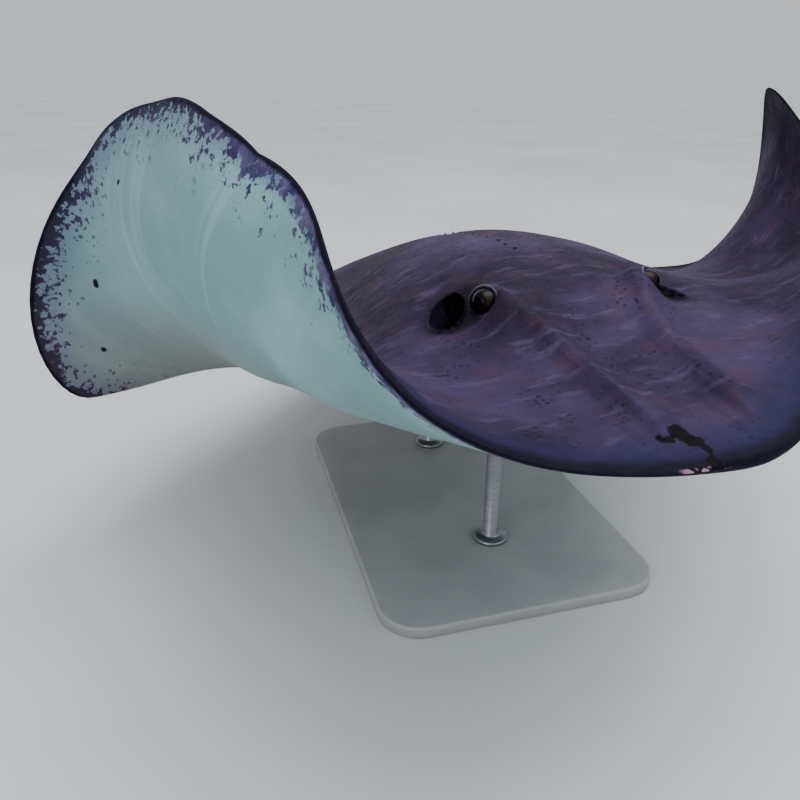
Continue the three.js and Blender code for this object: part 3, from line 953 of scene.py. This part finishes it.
# A rod's profile from its foot up. The collar has a radius and a height over the foot. The shaft and
# the tip have what is added to the rod's radius, and a height over the foot and over the rod's top.
COLLAR = ((0.0172, 0), (0.0180, 0.0012), (0.0180, 0.0040), (0.0168, 0.0054))
SHAFT = ((0.0016, 0.0060), (0, 0.0078))
TIP = ((0, -0.014), (0.0012, -0.012), (0.0012, 0.003))


def make_rod(node):
    """A round rod with a collar at its foot. Its top ends inside the belly's skin."""
    low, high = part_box(node)
    x, y = (low.x + high.x) / 2, (low.y + high.y) / 2
    radius = (high.x - low.x) / 2
    foot = base_high.z - 0.0005
    profile = [(r, foot + z) for r, z in COLLAR]
    profile += [(radius + r, foot + z) for r, z in SHAFT]
    profile += [(radius + r, high.z + z) for r, z in TIP]
    turns = around(64)
    loops = [np.stack([x + r * np.cos(turns), y + r * np.sin(turns), 0 * turns + z], 1) for r, z in profile]
    piece = stack_of_loops(node.replace("rod", "post"), loops)
    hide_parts(node)
    return piece


# ---- material helpers

def srgb(*values):
    """A colour from 0-255 screen values, as linear light."""
    c = np.array(values) / 255
    linear = np.where(c <= 0.04045, c / 12.92, ((c + 0.055) / 1.055) ** 2.4)
    return (*[float(v) for v in linear], 1.0)


SHADER_INPUTS = {
    "color": "Base Color", "rough": "Roughness", "normal": "Normal", "metal": "Metallic",
    "specular": "Specular IOR Level", "coat": "Coat Weight", "coat_rough": "Coat Roughness",
}


class Nodes:
    """A small helper for building a node tree."""

    def __init__(self, name):
        self.material = bpy.data.materials.new(name)
        self.material.use_nodes = True
        self.tree = self.material.node_tree
        self.shader = self.tree.nodes["Principled BSDF"]

    def node(self, kind, inputs=None, **settings):
        made = self.tree.nodes.new(kind)
        for key, value in settings.items():
            setattr(made, key, value)
        for key, value in (inputs or {}).items():
            self.put(made.inputs[key], value)
        return made

    def put(self, socket, value):
        if isinstance(value, bpy.types.NodeSocket):
            self.tree.links.new(value, socket)
        else:
            socket.default_value = value

    def math(self, operation, *values, clamp=False):
        inputs = dict(enumerate(values))
        return self.node("ShaderNodeMath", inputs, operation=operation, use_clamp=clamp).outputs[0]

    def add(self, first, second):
        return self.math("ADD", first, second)

    def less(self, first, second):
        return self.math("SUBTRACT", first, second)

    def times(self, first, second):
        return self.math("MULTIPLY", first, second)

    def blend(self, factor, first, second):
        return self.node("ShaderNodeMix", {0: factor, 6: first, 7: second}, data_type="RGBA").outputs[2]

    def ramp(self, value, low, high, to_low=0.0, to_high=1.0):
        inputs = {"Value": value, "From Min": low, "From Max": high, "To Min": to_low, "To Max": to_high}
        return self.node("ShaderNodeMapRange", inputs, interpolation_type="SMOOTHSTEP").outputs[0]

    def noise(self, vector, scale, detail=3.0, rough=0.55):
        inputs = {"Vector": vector, "Scale": scale, "Detail": detail, "Roughness": rough}
        return self.node("ShaderNodeTexNoise", inputs, noise_dimensions="3D").outputs["Fac"]

    def cells(self, vector, scale):
        inputs = {"Vector": vector, "Scale": scale}
        return self.node("ShaderNodeTexVoronoi", inputs, feature="F1").outputs["Distance"]

    def position(self):
        return self.node("ShaderNodeTexCoord").outputs["Object"]

    def combine(self, x, y, z=0.0):
        return self.node("ShaderNodeCombineXYZ", {0: x, 1: y, 2: z}).outputs[0]

    def split(self, vector):
        return self.node("ShaderNodeSeparateXYZ", {0: vector}).outputs

    def uv(self, name):
        return self.split(self.node("ShaderNodeUVMap", uv_map=name).outputs[0])

    def bump(self, height, distance, normal=None):
        inputs = {"Height": height, "Distance": distance, "Strength": 1.0}
        if normal is not None:
            inputs["Normal"] = normal
        return self.node("ShaderNodeBump", inputs).outputs[0]

    def finish(self, **values):
        for key, value in values.items():
            self.put(self.shader.inputs[SHADER_INPUTS[key]], value)
        return self.material


# ---- materials

def near_line(n, a, y, first, last):
    """Distance on the flat skin from the line between two places, given as (y, a)."""
    way_y, way_a = last[0] - first[0], last[1] - first[1]
    length = max(way_y**2 + way_a**2, 1e-12)
    from_y = n.less(y, first[0])
    from_a = n.less(a, first[1])
    along = n.add(n.times(from_y, way_y / length), n.times(from_a, way_a / length))
    # A clamped sum with nothing keeps the place on the line between its two ends.
    along = n.math("ADD", along, 0.0, clamp=True)
    off_y = n.less(from_y, n.times(along, way_y))
    off_a = n.less(from_a, n.times(along, way_a))
    return n.math("SQRT", n.add(n.times(off_y, off_y), n.times(off_a, off_a)))


# The dark lines on the right of the snout, and the lone spots under the right wing: ends (y, a), radius.
SNOUT_LINES = [
    ((0.030, -0.026), (0.018, -0.020), 0.0036),
    ((0.018, -0.020), (0.013, -0.018), 0.0026),
    ((0.030, -0.036), (0.026, -0.032), 0.0018),
    ((0.011, -0.019), (0.007, -0.020), 0.0016),
    ((0.006, -0.022), (0.003, -0.020), 0.0026),
]
LONE_SPOTS = [
    ((0.49, -0.38), (0.49, -0.38), 0.0024),
    ((0.38, -0.42), (0.38, -0.42), 0.0026),
    ((0.29, -0.42), (0.29, -0.42), 0.0022),
    ((0.53, -0.36), (0.53, -0.36), 0.0014),
    ((0.63, -0.37), (0.63, -0.38), 0.0034),
    ((0.62, -0.37), (0.62, -0.37), 0.0026),
]


def marks(n, colour, a, y, wander, lines, tint):
    """Adds uneven marks to a colour."""
    for first, last, radius in lines:
        off = n.add(near_line(n, a, y, first, last), n.times(wander, 0.009))
        colour = n.blend(n.ramp(off, radius + 0.0007, radius - 0.0007), colour, tint)
    return colour


def back_colour(n, place_at, a, y, edge):
    """The upper skin: dark purple-brown, clouded and freckled, navy towards the front margin, with painted
    shade along the breathing holes.
    """
    clouds = n.noise(place_at, 9.0, 4.0, 0.6)
    patches = n.noise(place_at, 30.0, 4.0, 0.65)
    streaks = n.noise(n.combine(n.times(a, 26.0), n.times(y, 90.0)), 1.0, 3.0, 0.6)
    colour = n.blend(n.ramp(clouds, 0.35, 0.68), srgb(36, 28, 49), srgb(62, 52, 82))
    colour = n.blend(n.ramp(patches, 0.48, 0.72, 0, 0.45), colour, srgb(72, 46, 60))
    colour = n.blend(n.ramp(streaks, 0.52, 0.74, 0, 0.45), colour, srgb(88, 76, 108))
    freckles = n.cells(place_at, 190.0)
    dark = n.times(n.ramp(freckles, 0.38, 0.14), n.ramp(n.noise(place_at, 24.0), 0.44, 0.62))
    colour = n.blend(n.times(dark, 0.7), colour, srgb(18, 13, 28))
    fine = n.less(n.noise(place_at, 150.0, 3.0, 0.6), 0.5)
    wander = n.times(n.less(n.noise(place_at, 40.0), 0.5), 0.016)
    near = n.add(edge, wander)
    band = n.times(n.ramp(near, 0.045, 0.008), n.ramp(y, 0.50, 0.20, 0.15, 1.0))
    colour = n.blend(n.times(band, 0.80), colour, srgb(30, 28, 62))
    line = n.ramp(near, 0.013, 0.003)
    colour = n.blend(n.times(line, 0.9), colour, srgb(9, 6, 20))
    colour = marks(n, colour, a, y, fine, SNOUT_LINES, srgb(6, 4, 12))
    # Painted shade along the inner side of each breathing hole, towards the eye.
    for side in (-1, 1):
        ends = (SPIRACLE["y"] + 0.012, side * 0.076), (SPIRACLE["y"] - 0.020, side * 0.084)
        painted_shade = n.ramp(n.add(near_line(n, a, y, *ends), wander), 0.026, 0.012, 0.0, 0.9)
        colour = n.blend(painted_shade, colour, srgb(12, 8, 20))
    from_nick = n.math("ABSOLUTE", n.add(a, 0.027))
    nick = n.times(n.ramp(edge, 0.0030, 0.0012), n.ramp(from_nick, 0.016, 0.009))
    nick = n.times(nick, n.ramp(fine, -0.02, 0.03, 0.0, 0.8))
    return n.blend(nick, colour, srgb(158, 128, 144))


def belly_colour(n, place_at, a, y, edge, height):
    """The lower skin: pale blue-green, with a dark, broken margin, and painted shade towards the rear, low
    down and out at the tip.
    """
    tone = n.noise(place_at, 7.0, 3.0)
    colour = n.blend(n.ramp(tone, 0.35, 0.65), srgb(118, 157, 162), srgb(142, 180, 183))
    across = n.math("ABSOLUTE", a)
    ray = n.math("ARCTAN2", across, n.less(y, 0.62))
    fan = n.noise(n.combine(n.times(ray, 30.0), n.times(across, 4.0)), 1.0, 2.0)
    outer = n.ramp(across, 0.14, 0.30)
    colour = n.blend(n.times(n.ramp(fan, 0.52, 0.72, 0, 0.35), outer), colour, srgb(170, 204, 208))
    # Painted shade: the underside goes grey-brown towards the rear and lower down, where it curves away
    # from the light.
    rear = n.ramp(y, 0.42, 0.68)
    colour = n.blend(n.times(rear, 0.6), colour, srgb(134, 132, 128))
    low = n.ramp(height, 0.33, 0.15)
    colour = n.blend(n.times(low, 0.75), colour, srgb(134, 134, 126))
    # Painted shade, darker out towards the wing's tip.
    colour = n.blend(n.ramp(across, 0.30, 0.44, 0.0, 0.35), colour, srgb(92, 112, 122))
    # Pigment round the margin thins out inwards in lumps: mauve along the front, near-black round the tip.
    tip = n.ramp(y, 0.16, 0.30)
    coarse = n.less(n.noise(place_at, 46.0, 4.0, 0.6), 0.5)
    fine = n.less(n.noise(place_at, 150.0, 3.0, 0.6), 0.5)
    lumps = n.add(n.noise(place_at, 165.0, 4.0, 0.65), n.times(coarse, 0.50))
    need = n.add(n.times(n.math("SQRT", edge), 2.2), 0.24)
    inked = n.ramp(n.less(lumps, need), -0.02, 0.03)
    mauve = n.blend(n.ramp(n.noise(place_at, 70.0), 0.35, 0.65), srgb(44, 36, 76), srgb(92, 80, 118))
    tint = n.blend(n.ramp(edge, 0.003, 0.024), srgb(18, 14, 42), srgb(56, 42, 78))
    tint = n.blend(n.times(rear, 0.75), tint, srgb(66, 40, 50))
    tint = n.blend(tip, mauve, tint)
    haze = n.ramp(edge, n.ramp(tip, 0, 1, 0.018, 0.045), 0.006)
    colour = n.blend(n.times(haze, n.ramp(tip, 0, 1, 0.75, 0.5)), colour, srgb(84, 82, 122))
    colour = n.blend(n.times(inked, 0.94), colour, tint)
    line = n.ramp(n.add(edge, n.times(coarse, 0.006)), 0.0050, 0.0022)
    colour = n.blend(line, colour, srgb(10, 8, 26))
    ragged = n.add(n.cells(place_at, 140.0), n.times(fine, 1.2))
    sparse = n.ramp(n.noise(place_at, 36.0, 1.0), 0.53, 0.60)
    reach = n.times(n.ramp(edge, 0.070, 0.030), tip)
    spots = n.times(n.times(n.ramp(ragged, 0.28, 0.16), sparse), n.times(reach, 0.7))
    colour = n.blend(spots, colour, srgb(34, 28, 54))
    return marks(n, colour, a, y, fine, LONE_SPOTS, srgb(24, 20, 42))


def skin_material():
    n = Nodes("skin")
    a, y, _ = n.uv("Flat")
    edge, upper_side, _ = n.uv("Edge")
    at_x, at_y, height = n.split(n.position())
    is_upper = n.ramp(upper_side, 0.45, 0.55)
    # The two sides of the body read the patterns at places far apart.
    place_at = n.combine(at_x, at_y, n.add(height, n.times(is_upper, 3.0)))
    colour = n.blend(
        is_upper,
        belly_colour(n, place_at, a, y, edge, height),
        back_colour(n, place_at, a, y, edge),
    )
    # Painted shade, darker down the throats of the breathing holes.
    colour = n.blend(n.ramp(upper_side, 1.05, 1.8), colour, srgb(13, 9, 18))
    colour = n.blend(n.ramp(upper_side, 3.0, 3.5, 0.0, 0.6), colour, srgb(104, 98, 116))
    pores = n.noise(place_at, 900.0, 2.0)
    creases = n.noise(place_at, 160.0, 4.0, 0.65)
    swell = n.noise(place_at, 22.0, 2.0)
    normal = n.bump(swell, 0.0030)
    normal = n.bump(creases, 0.0007, normal=normal)
    normal = n.bump(pores, 0.00018, normal=normal)
    rough = n.ramp(creases, 0.3, 0.7, 0.50, 0.66)
    return n.finish(color=colour, rough=rough, normal=normal, specular=0.07)


def eye_material():
    """Black pupil, a red-brown iris that shows most on the front side, and a dark ball."""
    n = Nodes("eye")
    u, v, _ = n.uv("Gaze")
    polar = n.uv("Polar")[0]
    place_at = n.combine(u, v)
    streaks = n.noise(place_at, 14.0, 4.0)
    wide = n.add(polar, n.times(n.less(streaks, 0.5), 0.03))
    iris = n.blend(n.ramp(streaks, 0.35, 0.65), srgb(22, 7, 10), srgb(50, 16, 18))
    front = n.ramp(u, 0.46, 0.30)
    iris = n.blend(front, srgb(13, 11, 20), iris)
    colour = n.blend(n.ramp(wide, 0.150, 0.165), srgb(4, 3, 7), iris)
    colour = n.blend(n.ramp(wide, 0.250, 0.280), colour, srgb(14, 12, 22))
    grain = n.noise(place_at, 60.0, 2.0)
    return n.finish(
        color=colour, rough=n.ramp(grain, 0.3, 0.7, 0.16, 0.22), normal=n.bump(grain, 0.00002),
        specular=0.10, coat=0.05, coat_rough=0.04,
    )


def grained_material(name, colours, patches, grain, rough, depth, **values):
    """Two colours in soft patches, with a grain in the roughness and the surface."""
    n = Nodes(name)
    at = n.position()
    fine = n.noise(at, *grain)
    colour = n.blend(n.ramp(n.noise(at, *patches), 0.3, 0.7), *colours)
    roughness = n.ramp(fine, 0.3, 0.7, *rough)
    return n.finish(color=colour, rough=roughness, normal=n.bump(fine, depth), **values)


def spine_material(name, dark, light):
    return grained_material(name, (dark, light), (420.0, 4.0), (420.0, 4.0), (0.40, 0.60), 0.0003)


def stand_material():
    """Powder-coated steel."""
    greys = srgb(150, 152, 154), srgb(163, 165, 167)
    return grained_material("stand", greys, (12.0, 4.0), (700.0, 3.0), (0.45, 0.62), 0.0003, metal=0.1)


def rod_material():
    """Satin steel, brushed round the rod."""
    n = Nodes("stand_rod")
    x, y, z = n.split(n.position())
    brushed = n.noise(n.combine(n.times(x, 20.0), n.times(y, 20.0), n.times(z, 1600.0)), 1.0)
    colour = n.blend(n.ramp(brushed, 0.3, 0.7), srgb(122, 124, 128), srgb(160, 162, 166))
    rough = n.ramp(brushed, 0.3, 0.7, 0.28, 0.42)
    return n.finish(color=colour, rough=rough, normal=n.bump(brushed, 0.0001), metal=1.0)


def floor_material():
    greys = srgb(198, 200, 202), srgb(208, 210, 212)
    return grained_material("floor", greys, (1.6, 4.0), (240.0, 2.0), (0.80, 0.92), 0.0002, specular=0.0)


def cover(piece, material):
    piece.data.materials.clear()
    piece.data.materials.append(material)


# ---- camera, light and floor

# The photo's viewpoint, found from the wings, back, eyes and snout.
CAMERA_PLACE = np.array([-0.265, -0.266, 0.217])
CAMERA_AZIMUTH = np.radians(-15.61)
CAMERA_ELEVATION = np.radians(24.40)
SENSOR_WIDTH = 36
FOCAL_LENGTH = 33.138
FLOOR_REACH = 40
SKY_COLOUR = (0.93, 0.96, 1.0)


def make_camera():
    data = bpy.data.cameras.new("camera")
    data.sensor_width = SENSOR_WIDTH
    data.lens = FOCAL_LENGTH
    data.clip_start = 0.01
    camera = added("camera", data)
    camera.location = Vector(CAMERA_PLACE + SHIFT + np.array([0, 0, PIVOT_HEIGHT]))
    camera.rotation_euler = (np.pi / 2 - CAMERA_ELEVATION, 0, CAMERA_AZIMUTH)
    bpy.context.scene.camera = camera


def area_light(name, at, aim, size, power, colour):
    data = bpy.data.lights.new(name, "AREA")
    data.shape = "DISK"
    data.size = size
    data.energy = power
    data.color = colour
    light = added(name, data)
    light.location = at
    light.rotation_euler = (Vector(aim) - Vector(at)).to_track_quat("-Z", "Y").to_euler()


def make_studio():
    corners = [(x * FLOOR_REACH, y * FLOOR_REACH, 0) for x, y in ((-1, -1), (1, -1), (1, 1), (-1, 1))]
    floor = new_object("floor", corners, [(0, 1, 2, 3)], None)
    cover(floor, floor_material())
    world = bpy.data.worlds.new("studio")
    world.use_nodes = True
    sky = world.node_tree.nodes["Background"]
    sky.inputs["Color"].default_value = (*SKY_COLOUR, 1)
    sky.inputs["Strength"].default_value = 0.70
    bpy.context.scene.world = world
    # A very soft sun lights the far floor as bright as the backdrop, so that the two run together.
    data = bpy.data.lights.new("soft_sun", "SUN")
    data.energy = 1.45
    data.angle = np.radians(70)
    data.color = SKY_COLOUR
    sun = added("soft_sun", data)
    sun.rotation_euler = (np.radians(18), np.radians(14), 0)
    area_light("overhead", (0.5, -0.9, 2.6), (0, -0.6, 0.3), 2.2, 40, (1, 0.99, 0.97))
    area_light("front", (-1.9, -2.6, 1.1), (-0.1, -0.7, 0.3), 1.8, 16, (0.96, 0.98, 1))


# ---- the scene

make_camera()
make_studio()
cover(make_skin(), skin_material())
eye_finish = eye_material()
cover(make_eye("eyeball_right", -1), eye_finish)
cover(make_eye("eyeball_left", 1), eye_finish)
cover(make_sting(), spine_material("spine", srgb(150, 136, 118), srgb(206, 196, 176)))
cover(make_thorns(np.random.default_rng(7)), spine_material("thorn", srgb(40, 33, 46), srgb(72, 62, 76)))
cover(make_base(), stand_material())
rod_finish = rod_material()
for rod_node in ("stand_rod_front", "stand_rod_rear"):
    cover(make_rod(rod_node), rod_finish)
